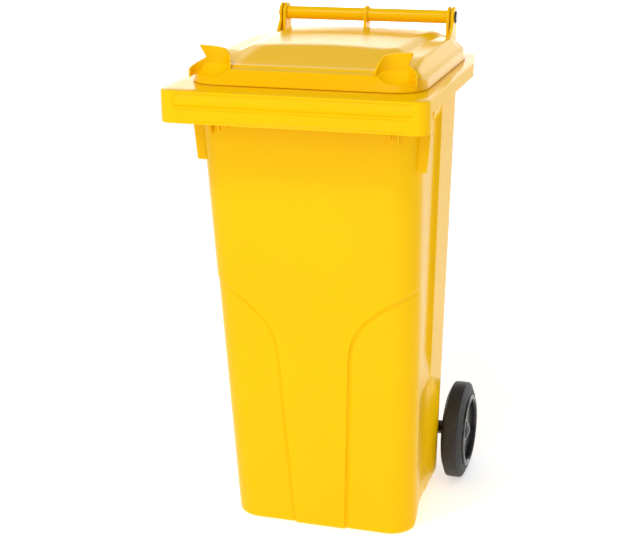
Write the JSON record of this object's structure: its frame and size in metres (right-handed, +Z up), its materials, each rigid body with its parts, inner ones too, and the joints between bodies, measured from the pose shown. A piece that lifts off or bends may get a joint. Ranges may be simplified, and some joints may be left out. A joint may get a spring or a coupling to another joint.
{
  "type": "wheelie bin",
  "caption": "Yellow moulded refuse bin on wheels with a hinged domed lid, comb-lift rim, rear handle bar and steel axle.",
  "frame": {"origin": "on the ground, under the middle of the overall box", "axes": "+Z up, the front of the bin faces -Y, the wheels' axle runs along X"},
  "size_m": [0.48, 0.555, 0.972],
  "materials": {
    "yellow_plastic": "smooth moulded, glossy",
    "black_plastic": "smooth moulded, semi-gloss",
    "grey_plastic": "plain moulded",
    "tyre_rubber": "solid rubber, matt",
    "zinc_steel": "zinc plated"
  },
  "bodies": {
    "tub": {"tub": "yellow_plastic", "handle_bar": "yellow_plastic", "hinge_pin_left": "black_plastic", "hinge_pin_right": "black_plastic", "axle": "zinc_steel", "axle_bush_left": "black_plastic", "axle_bush_right": "black_plastic"},
    "lid": {"lid": "yellow_plastic"},
    "wheel_left": {"tyre_left": "tyre_rubber", "hub_left": "black_plastic", "hub_bush_left": "grey_plastic", "hub_cap_left": "black_plastic"},
    "wheel_right": {"tyre_right": "tyre_rubber", "hub_right": "black_plastic", "hub_bush_right": "grey_plastic", "hub_cap_right": "black_plastic"},
    "lock_left": {"lock_pin_left": "grey_plastic", "lock_spring_left": "zinc_steel"},
    "lock_right": {"lock_pin_right": "grey_plastic", "lock_spring_right": "zinc_steel"}
  },
  "joints": [
    {"name": "lid_hinge", "type": "hinge", "parent": "tub", "child": "lid", "pos_m": [0, 0.228, 0.952], "axis": [-1, 0, 0], "range_deg": [0, 270]},
    {"name": "wheel_left_spin", "type": "hinge", "parent": "tub", "child": "wheel_left", "pos_m": [0, 0.1775, 0.1], "axis": [1, 0, 0], "continuous": true},
    {"name": "wheel_right_spin", "type": "hinge", "parent": "tub", "child": "wheel_right", "pos_m": [0, 0.1775, 0.1], "axis": [1, 0, 0], "continuous": true},
    {"name": "lock_left_slide", "type": "slide", "parent": "wheel_left", "child": "lock_left", "axis": [0, 0, 1], "range_m": [0, 0.0035], "stiffness_N_per_m": 300, "springref_m": -0.001, "deforming": ["lock_spring_left"]},
    {"name": "lock_right_slide", "type": "slide", "parent": "wheel_right", "child": "lock_right", "axis": [0, 0, 1], "range_m": [0, 0.0035], "stiffness_N_per_m": 300, "springref_m": -0.001, "deforming": ["lock_spring_right"]}
  ]
}
